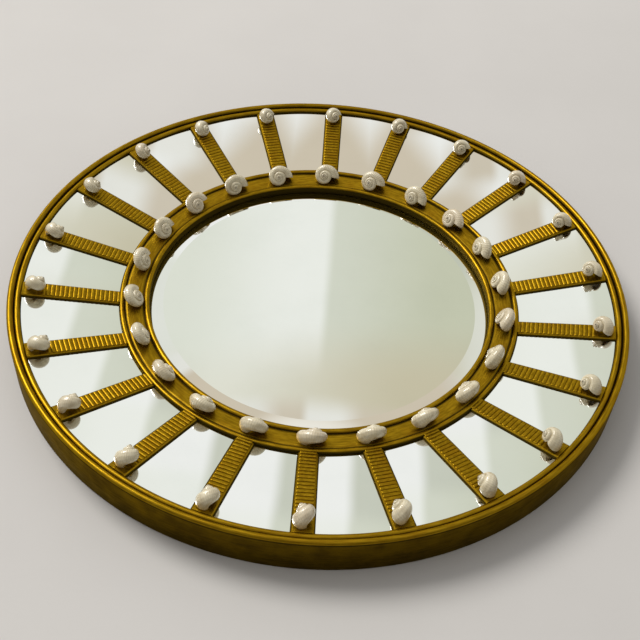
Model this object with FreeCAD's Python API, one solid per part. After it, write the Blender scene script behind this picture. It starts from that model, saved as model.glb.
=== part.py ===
import FreeCAD, Part
import math
import os

# Round wall mirror with a dished ring of mirror panels between reeded spokes, and two rings of
# turban shells. Millimetres. Every piece is modelled as it lies on the bench: the back of the rim
# on the plane z = 0, the face up, the top of the hung mirror towards +y. At the end each piece is
# stood up against the wall: face towards -Y, top towards +Z, back of the rim on the plane y = 0.

# Sides and repeats
spoke_count = 22
bead_flats = 3
wire_sides = 8
screw_sides = 8

# Rim: a deep ring, a tall bead at its outer edge and a lower one inside it
rim_outer_r = 457.0
rim_width = 18.5
rim_height = 60.0
rim_step = 4.2
rim_bead_rise = 3.2

# Inner ring: a bead on each side of a channel that slopes down towards the centre
ring_width = 44.0
ring_outer_top = 29.3
ring_inner_top = 25.6
ring_bead_width = 8.0
ring_bead_rise = 2.6
ring_channel_drop = 3.2
ring_quirk = 1.0

# Centre mirror: plate glass with a wide bevel, held under the inner lip of the ring
glass_thick = 5.0
bevel_width = 25.0
bevel_edge = 2.5
glass_lap = 5.0
lip_clear = 0.6

# Backing board, let into the back of the rim
board_inset = 5.5
board_thick = 4.0

# Mirror panels and the two bearers that carry their ends, each mitred from straight lengths
dish_width = 137.5
panel_thick = 3.0
panel_below_rim = 6.2
panel_below_ring = 4.8
outer_bearer_width = 40.0
inner_bearer_width = 19.0

# Spokes: a bar over the joint of two panels, with a stem between the glass edges
spoke_inner_width = 29.0
spoke_outer_width = 31.0
spoke_bar_thick = 3.6
spoke_flank = 3.2
spoke_edge = 1.0
stem_width = 6.0
reed_pitch = 6.4
reed_height = 1.3
reed_base = 0.3
reed_margin = 3.6
shell_seat_length = 28.6

# Turban shells: whorls that grow by one ratio per turn about a straight axis
shell_growth = 2.0
shell_steps = 7
shell_turns = 2
inner_shell_r = 23.2
inner_shell_spire = 14.0
inner_shell_base = 12.0
inner_shell_lean = 38.0
inner_shell_tip = -8.0
inner_shell_shift = 2.6
inner_shell_side = 3.0
outer_shell_r = 17.8
outer_shell_spire = 19.0
outer_shell_base = 11.5
outer_shell_lean = 36.0
outer_shell_tip = 40.0
outer_shell_roll = -12.0
outer_shell_inset = 17.4
shell_flat = 0.8
shell_sway = 7.0

# Hangers: strap with a rolled eye, and a wire loop that swings in the eye
hanger_angle = 35.0
hanger_inset = 33.5
strap_width = 14.0
strap_length = 38.0
strap_thick = 1.0
wire_r = 1.25
loop_width = 21.0
loop_drop = 13.0
loop_corner = 2.5
hanger_screw_r = 1.7
hanger_screw_head_r = 3.2
hanger_screw_length = 14.0
hanger_screw_spacing = 16.0

# Screws that hold the board to the outer bearer
board_screw_count = 8
board_screw_r = 1.75
board_screw_head_r = 3.5
board_screw_length = 16.0

# Clearances
glue_gap = 0.2
glass_gap = 0.7
board_gap = 0.5
eye_gap = 0.3
seat_gap = 0.07

# Places that follow from the sizes above
V = FreeCAD.Vector
half_step = 180.0 / spoke_count
cos_half = math.cos(math.radians(half_step))
sin_half = math.sin(math.radians(half_step))
rim_inner_r = rim_outer_r - rim_width
ring_outer_r = rim_inner_r - dish_width
ring_inner_r = ring_outer_r - ring_width
board_front = board_inset + board_thick
glass_r = ring_inner_r + glass_lap
glass_front = board_front + glass_thick
rim_inner_top = rim_height - rim_step
panel_inner_z = ring_outer_top - panel_below_ring
panel_outer_z = rim_inner_top - panel_below_rim
dish_slope = (panel_outer_z - panel_inner_z) / (rim_inner_r - ring_outer_r)
dish_tilt = math.degrees(math.atan(dish_slope))
panel_drop = panel_thick / math.cos(math.atan(dish_slope))
spoke_slope = cos_half * dish_slope
channel_outer_r = ring_outer_r - ring_bead_width - ring_quirk
channel_inner_r = ring_inner_r + ring_bead_width + ring_quirk
channel_outer_z = ring_outer_top - ring_channel_drop
channel_inner_z = ring_inner_top - ring_channel_drop
bearer_mid_r = rim_inner_r - outer_bearer_width / 2
hanger_r = rim_inner_r - hanger_inset
strap_back = board_inset - strap_thick
eye_z = strap_back - eye_gap - wire_r


def flat_solid(faces):
    """Closed solid from planar faces, each given by its corners."""
    made = []
    for corners in faces:
        made.append(Part.Face(Part.makePolygon(corners + [corners[0]])))
    shell = Part.makeShell(made)
    shell.sewShape()
    solid = Part.makeSolid(shell)
    if solid.Volume < 0:
        solid.reverse()
    return solid


def between(start, end):
    """Solid with straight sides between two polygons of the same number of corners."""
    count = len(start)
    faces = [list(start), list(end)]
    for i in range(count):
        j = (i + 1) % count
        faces.append([start[i], start[j], end[j], end[i]])
    return flat_solid(faces)


def turned(edges):
    """Ring or disc turned about the z axis from a closed profile in the x-z plane."""
    face = Part.Face(Part.Wire(edges))
    return face.revolve(V(0, 0, 0), V(0, 0, 1), 360)


def line(a, b):
    return Part.makeLine(V(a[0], 0, a[1]), V(b[0], 0, b[1]))


def path(points):
    return [line(points[i], points[i + 1]) for i in range(len(points) - 1)]


def bead(a, b, rise):
    """Points of a bead over the chord from a to b: flats on an arc that stands rise above it."""
    half = (a[0] - b[0]) / 2
    radius = (half * half + rise * rise) / (2 * rise)
    reach = math.asin(half / radius)
    if rise > half:
        reach = math.pi - reach
    middle = (a[0] + b[0]) / 2
    points = []
    for i in range(bead_flats + 1):
        t = reach * (1 - 2 * i / bead_flats)
        points.append((middle + radius * math.sin(t), a[1] + rise - radius * (1 - math.cos(t))))
    return points


def spun(shape, degrees):
    copy = shape.copy()
    copy.rotate(V(0, 0, 0), V(0, 0, 1), degrees)
    return copy


def spoke_angle(index):
    """Spoke 1 points to the top, the others follow clockwise as seen from the front."""
    return 90.0 - 2 * half_step * index


def outer_rim():
    mid_r = (rim_outer_r + rim_inner_r) / 2
    high = rim_height - rim_bead_rise
    low = rim_inner_top - rim_bead_rise
    profile = [(rim_inner_r, 0), (rim_outer_r, 0)]
    profile += bead((rim_outer_r, high), (mid_r, high), rim_bead_rise)
    profile += bead((mid_r, low), (rim_inner_r, low), rim_bead_rise)
    return turned(path(profile + profile[:1]))


def inner_ring():
    lip_z = glass_front - (glass_thick - bevel_edge) * (bevel_width - glass_lap) / bevel_width + lip_clear
    rabbet_r = glass_r + glass_gap
    outer_z = ring_outer_top - ring_bead_rise
    inner_z = ring_inner_top - ring_bead_rise
    profile = [(rabbet_r, board_front), (ring_outer_r, board_front)]
    profile += bead((ring_outer_r, outer_z), (ring_outer_r - ring_bead_width, outer_z), ring_bead_rise)
    profile += [(channel_outer_r, channel_outer_z), (channel_inner_r, channel_inner_z)]
    profile += bead((ring_inner_r + ring_bead_width, inner_z), (ring_inner_r, inner_z), ring_bead_rise)
    profile += [(ring_inner_r, lip_z), (rabbet_r, lip_z)]
    return turned(path(profile + profile[:1]))


def centre_mirror():
    profile = [
        (0, board_front), (glass_r, board_front), (glass_r, board_front + bevel_edge),
        (glass_r - bevel_width, glass_front), (0, glass_front),
    ]
    return turned(path(profile + profile[:1]))


def backing_board(screws):
    board = Part.makeCylinder(rim_inner_r - board_gap, board_thick, V(0, 0, board_inset))
    return board.cut(Part.makeCompound(screws))


def bearer(inner_r, outer_r):
    """Ring with one straight length under every panel, its top planed to the back of the panel.
    The radii are those of the mitred corners, which lie under the spokes."""
    rings = []
    for radius, on_top in ((inner_r, False), (outer_r, False), (outer_r, True), (inner_r, True)):
        z = board_front
        if on_top:
            z = panel_inner_z + (radius * cos_half - ring_outer_r) * dish_slope - panel_drop
        ring = []
        for i in range(spoke_count):
            a = math.radians(spoke_angle(i))
            ring.append(V(radius * math.cos(a), radius * math.sin(a), z))
        rings.append(ring)
    faces = []
    for near, far in zip(rings, rings[1:] + rings[:1]):
        for i in range(spoke_count):
            j = (i + 1) % spoke_count
            faces.append([near[i], near[j], far[j], far[i]])
    return flat_solid(faces)


def outer_bearer(screws):
    outer_r = rim_inner_r - glue_gap
    return bearer(outer_r - outer_bearer_width, outer_r).cut(Part.makeCompound(screws))


def inner_bearer():
    inner_r = (ring_outer_r + glue_gap) / cos_half
    return bearer(inner_r, inner_r + inner_bearer_width)


def mirror_panel():
    """Glass panel pointing along +x: arcs at both ends, sides parallel to the two spokes."""
    inner_r = ring_outer_r + glass_gap
    outer_r = rim_inner_r - glass_gap
    side = stem_width / 2 + glass_gap

    def corner(radius, sign):
        a = sign * (math.radians(half_step) - math.asin(side / radius))
        return V(radius * math.cos(a), radius * math.sin(a), 0)

    outline = Part.Wire([
        Part.Arc(corner(inner_r, 1), V(inner_r, 0, 0), corner(inner_r, -1)).toShape(),
        Part.makeLine(corner(inner_r, -1), corner(outer_r, -1)),
        Part.Arc(corner(outer_r, -1), V(outer_r, 0, 0), corner(outer_r, 1)).toShape(),
        Part.makeLine(corner(outer_r, 1), corner(inner_r, 1)),
    ])
    blank = Part.Face(outline).extrude(V(0, 0, 2 * rim_height))
    slab = Part.makeBox(2 * rim_outer_r, 2 * rim_outer_r, panel_thick)
    slab.translate(V(-rim_outer_r, -rim_outer_r, -panel_thick))
    slab.rotate(V(0, 0, 0), V(0, 1, 0), -dish_tilt)
    slab.translate(V(ring_outer_r, 0, panel_inner_z))
    return blank.common(slab)


def spoke_bar_z(radius):
    """Underside of a spoke's bar, where its long edges rest on the panels beside it."""
    rise = radius * cos_half + spoke_outer_width / 2 * sin_half - ring_outer_r
    return panel_inner_z + rise * dish_slope + seat_gap


def spoke():
    """Spoke pointing along +x, made level and then tilted up to the rim."""
    start = ring_outer_r - spoke_outer_width
    end = rim_inner_r + spoke_outer_width
    level = spoke_bar_z(ring_outer_r)
    valley = panel_inner_z + (ring_outer_r * cos_half - ring_outer_r) * dish_slope - panel_drop
    stem_foot = valley + stem_width / 2 * sin_half * dish_slope + seat_gap - level
    stem_foot *= math.cos(math.atan(spoke_slope))

    def section(x):
        along = (x - ring_outer_r) / (rim_inner_r - ring_outer_r)
        half = (spoke_inner_width + (spoke_outer_width - spoke_inner_width) * along) / 2
        stem = stem_width / 2
        face = half - spoke_flank
        edge = spoke_edge
        top = spoke_bar_thick
        corners = [
            (-stem, stem_foot), (stem, stem_foot), (stem, 0), (half, 0), (half, edge), (face, top),
            (-face, top), (-half, edge), (-half, 0), (-stem, 0),
        ]
        return [V(x, y, z) for y, z in corners]

    bar = between(section(start), section(end))

    # Reeded strip between the ring and the shell seat, as wide as the bar less a margin
    reed_start = ring_outer_r - reed_pitch
    count = int((rim_inner_r - shell_seat_length - reed_start) / reed_pitch)
    valley_z = spoke_bar_thick + reed_base
    outline = [V(reed_start, 0, spoke_bar_thick)]
    for i in range(count):
        x = reed_start + i * reed_pitch
        outline.append(V(x, 0, valley_z))
        outline.append(V(x + reed_pitch / 2, 0, spoke_bar_thick + reed_height))
    strip_end = reed_start + count * reed_pitch
    outline.append(V(strip_end, 0, valley_z))
    outline.append(V(strip_end, 0, spoke_bar_thick))
    wave = Part.Face(Part.makePolygon(outline + [outline[0]]))
    strip = wave.extrude(V(0, spoke_outer_width * 2, 0))
    strip.translate(V(0, -spoke_outer_width, 0))

    def plan(x, z):
        along = (x - ring_outer_r) / (rim_inner_r - ring_outer_r)
        half = (spoke_inner_width + (spoke_outer_width - spoke_inner_width) * along) / 2 - reed_margin
        return [V(x, -half, z), V(x, half, z)]

    low = plan(start, 0) + plan(end, 0)[::-1]
    high = plan(start, rim_height) + plan(end, rim_height)[::-1]
    strip = strip.common(between(low, high))

    piece = bar.fuse(strip)
    piece.rotate(V(ring_outer_r, 0, 0), V(0, 1, 0), -math.degrees(math.atan(spoke_slope)))
    piece.translate(V(0, 0, level))
    # Upright ends, short enough that their corners clear the round of the rim
    reach = math.sqrt((rim_inner_r - glue_gap) ** 2 - (spoke_outer_width / 2) ** 2)
    length = reach - ring_outer_r - glue_gap
    room = Part.makeBox(length, 2 * spoke_outer_width, 2 * rim_height,
                        V(ring_outer_r + glue_gap, -spoke_outer_width, 0))
    return piece.common(room)


def turban_shell(size, spire, base):
    """Turban shell about the z axis, apex at the origin and pointing up, mouth at the end of the
    last whorl. Seen from the apex it winds clockwise. Each whorl is a strip from its upper seam to
    its lower seam, and the lower seam of one turn is the upper seam of the next."""
    seam = (size, -spire)
    shoulder = (size * 0.9, -spire * 0.62)
    belly = (size * 0.86, -spire - base * 0.6)
    under = (size * 0.36, -spire - base)
    steps = shell_turns * shell_steps
    last = steps - shell_steps

    def point(place, step):
        scale = shell_growth ** ((step - steps) / shell_steps)
        a = math.radians(360.0 * (steps - step) / shell_steps)
        return V(place[0] * scale * math.cos(a), place[0] * scale * math.sin(a), place[1] * scale)

    upper = (seam[0] / shell_growth, seam[1] / shell_growth)
    side = [upper, shoulder, seam]
    bottom = [seam, belly, under]
    apex = V(0, 0, 0)
    foot = V(0, 0, under[1] / shell_growth)
    faces = []

    def strip(places, step):
        for p, q in zip(places, places[1:]):
            a, b, c, d = point(p, step), point(q, step), point(q, step + 1), point(p, step + 1)
            faces.append([a, b, c])
            faces.append([a, c, d])

    for step in range(steps):
        strip(side, step)
    for step in range(shell_steps):
        faces.append([apex, point(upper, step), point(upper, step + 1)])
    for step in range(last, steps):
        strip(bottom, step)
        faces.append([point(under, step), foot, point(under, step + 1)])
    # Closed start of the first whorl
    faces.append([apex] + [point(p, 0) for p in side])
    # Mouth: from the lip a hollow runs back to a point inside the last whorl
    lip = [point(p, steps) for p in side + bottom[1:]] + [foot, point(under, last), point(belly, last)]
    centre = sum(lip, V(0, 0, 0)) / len(lip)
    back = FreeCAD.Rotation(V(0, 0, 1), 360.0 / shell_steps)
    throat = back.multVec(centre)
    for i in range(len(lip)):
        faces.append([lip[i - 1], lip[i], throat])
    return flat_solid(faces)


def seated(shell, lean, tip, roll, seat, normal, inward):
    """Shell glued on a seat: axis leaning inward from the seat and tipped to one side (clockwise
    when the tip is positive), underside ground flat on the seat."""
    lean = math.radians(lean)
    tip = math.radians(tip)
    level = inward * math.cos(tip) + normal.cross(inward) * math.sin(tip)
    axis = level * math.cos(lean) + normal * math.sin(lean)
    across = normal.cross(axis)
    across.normalize()
    other = axis.cross(across)
    turn = FreeCAD.Rotation(across, other, axis, "ZXY")
    centre = shell.BoundBox.Center
    piece = shell.copy()
    piece.translate(-centre)
    piece.rotate(V(0, 0, 0), V(0, 0, 1), roll)
    piece.Placement = FreeCAD.Placement(V(0, 0, 0), turn).multiply(piece.Placement)
    lowest = min(v.Point.dot(normal) for v in piece.Vertexes)
    piece.translate(seat - normal * (lowest + shell_flat))
    size = shell.BoundBox.DiagonalLength
    ground = Part.makeBox(2 * size, 2 * size, size, V(-size, -size, -size))
    ground.Placement = FreeCAD.Placement(seat + normal * seat_gap, FreeCAD.Rotation(V(0, 0, 1), normal)) \
        .multiply(ground.Placement)
    return piece.cut(ground)


def sway(index, phase):
    """Small turn that makes no two neighbouring shells sit quite alike."""
    return shell_sway * math.sin(2.4 * index + phase)


def inner_shells():
    shell = turban_shell(inner_shell_r, inner_shell_spire, inner_shell_base)
    slope = (channel_outer_z - channel_inner_z) / (channel_outer_r - channel_inner_r)
    seat_r = (channel_outer_r + channel_inner_r) / 2 + inner_shell_shift
    seat_z = channel_inner_z + (seat_r - channel_inner_r) * slope
    made = []
    for i in range(spoke_count):
        normal = V(-slope, 0, 1)
        normal.normalize()
        inward = V(-1, 0, -slope)
        inward.normalize()
        lean = inner_shell_lean + sway(i, 1.0)
        seat = V(seat_r, inner_shell_side, seat_z)
        piece = seated(shell, lean, inner_shell_tip, sway(i, 0.0), seat, normal, inward)
        made.append(spun(piece, spoke_angle(i)))
    return Part.makeCompound(made)


def outer_shells():
    shell = turban_shell(outer_shell_r, outer_shell_spire, outer_shell_base)
    seat_r = rim_inner_r - outer_shell_inset
    seat_z = spoke_bar_z(ring_outer_r) + (seat_r - ring_outer_r) * spoke_slope
    made = []
    for i in range(spoke_count):
        normal = V(-spoke_slope, 0, 1)
        normal.normalize()
        inward = V(-1, 0, -spoke_slope)
        inward.normalize()
        seat = V(seat_r, 0, seat_z) + normal * spoke_bar_thick
        lean = outer_shell_lean + sway(i, 2.0)
        roll = outer_shell_roll + sway(i, 3.0)
        piece = seated(shell, lean, outer_shell_tip, roll, seat, normal, inward)
        made.append(spun(piece, spoke_angle(i)))
    return Part.makeCompound(made)


def hanger_centre(side):
    """Middle of a hanger strap on the back of the board: side is -1 for left, 1 for right."""
    a = math.radians(hanger_angle)
    return V(side * hanger_r * math.cos(a), hanger_r * math.sin(a), board_inset)


def eye_centre(side):
    middle = hanger_centre(side)
    return V(middle.x, middle.y + strap_length / 2, eye_z)


def hanger_strap(side, screws):
    middle = hanger_centre(side)
    eye = eye_centre(side)
    left = middle.x - strap_width / 2
    plate = Part.makeBox(strap_width, strap_length - strap_width / 2, strap_thick,
                         V(left, middle.y - strap_length / 2 + strap_width / 2, strap_back))
    plate = plate.fuse(Part.makeCylinder(strap_width / 2, strap_thick,
                                         V(middle.x, middle.y - strap_length / 2 + strap_width / 2, strap_back)))
    bore_r = wire_r + eye_gap
    roll = Part.makeCylinder(bore_r + strap_thick, strap_width, V(left, eye.y, eye.z), V(1, 0, 0))
    bore = Part.makeCylinder(bore_r, strap_width, V(left, eye.y, eye.z), V(1, 0, 0))
    return plate.fuse(roll).cut(bore).cut(Part.makeCompound(screws)).removeSplitter()


def hanger_loop(side):
    """Wire loop hanging down from the eye: a bar through the eye and a half round below it."""
    eye = eye_centre(side)
    half = loop_width / 2
    points = [
        (loop_corner - half, 0), (half - loop_corner, 0), (half, -loop_corner),
    ]
    for i in range(wire_sides - 1):
        a = math.pi * i / (wire_sides - 2)
        points.append((half * math.cos(a), -loop_drop - half * math.sin(a)))
    points.append((-half, -loop_corner))
    route = [V(eye.x + x, eye.y + y, eye.z) for x, y in points]
    count = len(route)
    rings = []
    for i in range(count):
        before = (route[i] - route[i - 1]).normalize()
        after = (route[(i + 1) % count] - route[i]).normalize()
        along = (before + after).normalize()
        mitre = V(0, 0, 1).cross(along) / along.dot(after)
        ring = []
        for j in range(wire_sides):
            a = 2 * math.pi * (j + 0.5) / wire_sides
            ring.append(route[i] + mitre * (wire_r * math.cos(a)) + V(0, 0, wire_r * math.sin(a)))
        rings.append(ring)
    faces = []
    for i in range(count):
        near, far = rings[i], rings[(i + 1) % count]
        for j in range(wire_sides):
            k = (j + 1) % wire_sides
            faces.append([near[j], near[k], far[k], far[j]])
    return flat_solid(faces)


def screw(place, back, radius, head_r, length):
    """Countersunk screw driven from the back: flat head flush with back, pointed end inside."""

    def ring(r, z):
        turn = 2 * math.pi / screw_sides
        return [V(place.x + r * math.cos(i * turn), place.y + r * math.sin(i * turn), back + z)
                for i in range(screw_sides)]

    head = between(ring(head_r, 0), ring(radius, head_r - radius))
    shank = between(ring(radius, head_r - radius), ring(radius, length - radius))
    tip = between(ring(radius, length - radius), ring(radius / 4, length))
    return head.fuse([shank, tip]).removeSplitter()


def hanger_screws(side):
    middle = hanger_centre(side)
    made = []
    for step in (-0.5, 0.5):
        place = V(middle.x, middle.y + step * hanger_screw_spacing, 0)
        made.append(screw(place, strap_back, hanger_screw_r, hanger_screw_head_r, hanger_screw_length))
    return made


def board_screws():
    made = []
    for i in range(board_screw_count):
        a = math.radians(90.0 + 360.0 * i / board_screw_count)
        place = V(bearer_mid_r * math.cos(a), bearer_mid_r * math.sin(a), 0)
        made.append(screw(place, board_inset, board_screw_r, board_screw_head_r, board_screw_length))
    return made


def hung(shape):
    """Stand a piece up against the wall: bench +z becomes -Y, bench +y becomes +Z."""
    copy = shape.copy()
    copy.rotate(V(0, 0, 0), V(1, 0, 0), 90)
    return copy


def build():
    left_screws = hanger_screws(-1)
    right_screws = hanger_screws(1)
    rear_screws = board_screws()
    every_screw = left_screws + right_screws + rear_screws
    pieces = {
        "outer_rim": outer_rim(),
        "inner_ring": inner_ring(),
        "centre_mirror": centre_mirror(),
        "backing_board": backing_board(every_screw),
        "outer_bearer": outer_bearer(every_screw),
        "inner_bearer": inner_bearer(),
        "inner_shells": inner_shells(),
        "outer_shells": outer_shells(),
        "hanger_strap_left": hanger_strap(-1, left_screws),
        "hanger_strap_right": hanger_strap(1, right_screws),
        "hanger_loop_left": hanger_loop(-1),
        "hanger_loop_right": hanger_loop(1),
        "hanger_screws": Part.makeCompound(left_screws + right_screws),
        "board_screws": Part.makeCompound(rear_screws),
    }
    panel = mirror_panel()
    bar = spoke()
    for i in range(spoke_count):
        pieces["spoke_%02d" % (i + 1)] = spun(bar, spoke_angle(i))
        pieces["mirror_panel_%02d" % (i + 1)] = spun(panel, spoke_angle(i) - half_step)
    return pieces


def main():
    os.makedirs("parts", exist_ok=True)
    for name, shape in build().items():
        hung(shape).exportStep("parts/%s.step" % name)
    print("dish tilt %.2f degrees" % dish_tilt)


main()
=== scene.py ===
# %% [markdown]
# # A round shell mirror, hung on a wall
# The packed model is the skeleton of this lesson: every CAD piece already sits where it belongs. We load it
# and then give each piece the surface and the fine form of the real object.

import math

import bmesh
import bpy
import numpy as np
from mathutils import Matrix, Vector


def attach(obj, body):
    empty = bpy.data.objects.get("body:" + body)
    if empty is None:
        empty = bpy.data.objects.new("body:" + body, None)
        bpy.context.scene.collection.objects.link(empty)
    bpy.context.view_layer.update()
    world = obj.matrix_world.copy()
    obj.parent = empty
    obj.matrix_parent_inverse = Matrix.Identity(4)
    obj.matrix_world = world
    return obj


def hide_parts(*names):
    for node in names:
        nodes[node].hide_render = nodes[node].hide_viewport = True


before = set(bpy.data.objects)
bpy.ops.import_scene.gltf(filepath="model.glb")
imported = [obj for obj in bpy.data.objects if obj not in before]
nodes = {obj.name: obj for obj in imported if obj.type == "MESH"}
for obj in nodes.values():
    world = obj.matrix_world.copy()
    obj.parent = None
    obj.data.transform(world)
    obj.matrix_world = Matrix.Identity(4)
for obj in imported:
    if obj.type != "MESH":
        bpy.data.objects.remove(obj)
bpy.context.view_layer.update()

# %% [markdown]
# ## A bench to work on
# A mirror maker lays the frame on its back and works from above. We do the same: points are worked out
# in millimetres, face up, with the top of the mirror along +y. One quarter turn then hangs the piece.
# The turn goes into the mesh and not on the object, because patterns are read in the object's own space.

# %% Bench helpers
MM = 0.001
HANG = Matrix.Rotation(math.radians(90), 4, "X")


def add_object(name, data):
    """Object for a mesh, a lamp or a camera, linked into the scene."""
    made = bpy.data.objects.new(name, data)
    bpy.context.scene.collection.objects.link(made)
    return made


def make_piece(name, points, faces, smooth=True, marks=None):
    """Mesh object from bench points in millimetres, with optional values per point."""
    mesh = bpy.data.meshes.new(name)
    mesh.from_pydata([tuple(p) for p in np.asarray(points) * MM], [], [tuple(f) for f in faces])
    mesh.validate()
    for mark, values in (marks or {}).items():
        layer = mesh.attributes.new(mark, "FLOAT", "POINT")
        layer.data.foreach_set("value", np.asarray(values, dtype=np.float32))
    for face in mesh.polygons:
        face.use_smooth = smooth
    return add_object(name, mesh)


def hang(piece, before=Matrix.Identity(4)):
    """Turn a piece from the bench to the wall, after an optional turn on the bench."""
    piece.data.transform(HANG @ before)
    piece.data.update()
    return piece


print("up from the bench is", [round(v) for v in HANG @ Vector((0, 0, 1))], "on the wall")

# %% [markdown]
# ## A small language for shaders
# Finishes here are sums and products of patterns. In the shader editor that means many Math nodes, which
# are slow to wire by hand. So one class wraps a socket and knows + - * and powers, and an expression such
# as 1 - mask adds its own nodes.

# %% Wrapped sockets


class Wire:
    """A number or colour that leaves a node."""

    def __init__(self, paint, socket):
        self.paint = paint
        self.socket = socket

    def maths(self, kind, *others):
        return self.paint.add("ShaderNodeMath", {"operation": kind}, [self, *others])

    def __add__(self, other):
        return self.maths("ADD", other)

    __radd__ = __add__

    def __mul__(self, other):
        return self.maths("MULTIPLY", other)

    __rmul__ = __mul__

    def __sub__(self, other):
        return self.maths("SUBTRACT", other)

    def __rsub__(self, other):
        return self.paint.add("ShaderNodeMath", {"operation": "SUBTRACT"}, [other, self])

    def __pow__(self, other):
        return self.maths("POWER", other)

    def ramp(self, low, high):
        """0 below low, 1 above high, smooth between."""
        inputs = {"Value": self, "From Min": low, "From Max": high}
        return self.paint.add("ShaderNodeMapRange", {"interpolation_type": "SMOOTHSTEP"}, inputs, "Result")


print("besides its sums, a wire has", ", ".join(name for name in vars(Wire) if not name.startswith("_")))

# %% [markdown]
# Every other node comes from one method, which takes the node's type, its settings and its inputs. The
# rest of the class gives the nodes that this lesson uses most a short name each.

# %% Material builder


def opaque(value):
    """A plain colour with its alpha; a wire stays as it is."""
    return (*value, 1.0) if isinstance(value, tuple) else value


class Paint:
    """A material, or the world, under construction."""

    def __init__(self, name, world=False):
        self.block = bpy.data.worlds.new(name) if world else bpy.data.materials.new(name)
        self.block.use_nodes = True
        self.tree = self.block.node_tree
        self.tree.nodes.clear()

    def add(self, kind, settings=None, inputs=None, output=0):
        node = self.tree.nodes.new(kind)
        for key, value in (settings or {}).items():
            setattr(node, key, value)
        pairs = inputs.items() if isinstance(inputs, dict) else enumerate(inputs or [])
        for key, value in pairs:
            if isinstance(value, Wire):
                self.tree.links.new(value.socket, node.inputs[key])
            else:
                node.inputs[key].default_value = value
        return Wire(self, node.outputs[output]) if node.outputs else None

    def place(self):
        return self.add("ShaderNodeTexCoord", output="Object")

    def split(self, vector):
        parts = self.add("ShaderNodeSeparateXYZ", None, [vector]).socket.node
        return [Wire(self, parts.outputs[i]) for i in range(3)]

    def join(self, x, y, z):
        return self.add("ShaderNodeCombineXYZ", None, [x, y, z])

    def noise(self, place, scale, detail=4.0, rough=0.55):
        inputs = {"Vector": place, "Scale": scale, "Detail": detail, "Roughness": rough}
        return self.add("ShaderNodeTexNoise", None, inputs)

    def mark(self, name):
        return self.add("ShaderNodeAttribute", {"attribute_name": name}, None, "Fac")

    def mix(self, share, first, second):
        """Blend of two colours. The Mix node has sockets for each kind of data; 6 and 7 are colours."""
        inputs = {0: share, 6: opaque(first), 7: opaque(second)}
        return self.add("ShaderNodeMix", {"data_type": "RGBA"}, inputs, 2)

    def bump(self, height, distance, strength):
        inputs = {"Height": height, "Distance": distance, "Strength": strength}
        return self.add("ShaderNodeBump", None, inputs)

    def surface(self, **inputs):
        named = {key.replace("_", " "): opaque(value) for key, value in inputs.items()}
        shader = self.add("ShaderNodeBsdfPrincipled", None, named)
        self.add("ShaderNodeOutputMaterial", None, {"Surface": shader})
        return self.block


def report(made):
    """Print a material's or world's name and its number of nodes."""
    print(made.name, "has", len(made.node_tree.nodes), "nodes")


print("a paint can", ", ".join(name for name in vars(Paint) if not name.startswith("_")))

# %% [markdown]
# ## Antique gilding
# The frame is toned gold over a dark ground. Gold stays bright where a cloth rubs it, on the tops of the
# beads and reeds, and is painted dark and greenish in every groove and on the walls: partly real toning,
# partly painted shade. The renderer could find hollows from the shape, but that is lost in other programs.
# So each point carries a mark that says how dark it is painted, and two noises break the edge of the dark
# tone as if it were brushed on by hand.

# %% Gilding


def around(paint):
    """Place on a ring: angle round the centre, depth off the wall, distance from the centre."""
    x, y, z = paint.split(paint.place())
    radius = (x * x + z * z) ** 0.5
    return z.maths("ARCTAN2", x), y, radius


def gilding(name, light, deep, streak):
    """Gold with brush marks that run round the ring; a larger streak value makes them shorter."""
    copper, ground, tint = (0.22, 0.1, 0.004), (0.02, 0.014, 0.002), (0.85, 0.7, 0.4)
    bristles = 480.0
    paint = Paint(name)
    place = paint.place()
    angle, depth, radius = around(paint)
    along = paint.join(angle * streak, depth * bristles, radius * bristles)
    brushed = paint.noise(along, scale=1.0, detail=5.0, rough=0.6)
    cloud = paint.noise(place, scale=38.0, detail=3.0)
    grain = paint.noise(place, scale=900.0, detail=2.0)
    # This mark paints the gold darker towards the dark ground: partly real toning in the hollows, partly
    # painted shade on walls and grooves that face away from the light.
    recess = paint.mark("recess")
    rubbed = paint.mix(brushed.ramp(0.3, 0.72), deep, light)
    warm = paint.mix(cloud.ramp(0.42, 0.7) * 0.35, rubbed, copper)
    dark = (recess * 1.15 + (brushed - 0.5) * 0.5 + (cloud - 0.5) * 0.3).ramp(0.42, 1.0)
    colour = paint.mix(dark * 0.93, warm, ground)
    rough = 0.27 + brushed * 0.18 + dark * 0.25
    metal = 0.98 - dark * 0.06
    relief = paint.bump(brushed * 0.6 + grain * 0.4, distance=0.00022, strength=0.5)
    return paint.surface(Base_Color=colour, Metallic=metal, Roughness=rough, Normal=relief,
                         Specular_Tint=tint)


gilt = gilding("antique_gilding", light=(0.35, 0.21, 0.009), deep=(0.195, 0.112, 0.004), streak=18.0)
gilt_reeds = gilding("reeded_gilding", light=(0.34, 0.204, 0.009), deep=(0.2, 0.115, 0.004), streak=70.0)
report(gilt)
report(gilt_reeds)

# %% [markdown]
# ## Turned rings
# Rim and inner ring are turned on a lathe, so each is one line carried round the centre. A Screw modifier
# could do that, but here every point of the line also brings its value for toning and painted shade, high
# at the foot of a bead and zero on its crest, so the ring is built point by point.

# %% Lathe and bead


def lathe(name, line, sides=264):
    """Carry a closed line of (radius, height, toning and painted shade) round the bench's z axis."""
    turns = np.arange(sides) * 2 * math.pi / sides
    count = len(line)
    points = [(r * math.cos(a), r * math.sin(a), z) for a in turns for r, z, _ in line]
    faces = []
    for i in range(sides):
        here, there = i * count, (i + 1) % sides * count
        for j in range(count):
            k = (j + 1) % count
            faces.append((here + j, there + j, there + k, here + k))
    return hang(make_piece(name, points, faces, True, {"recess": [depth for *_, depth in line] * sides}))


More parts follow.
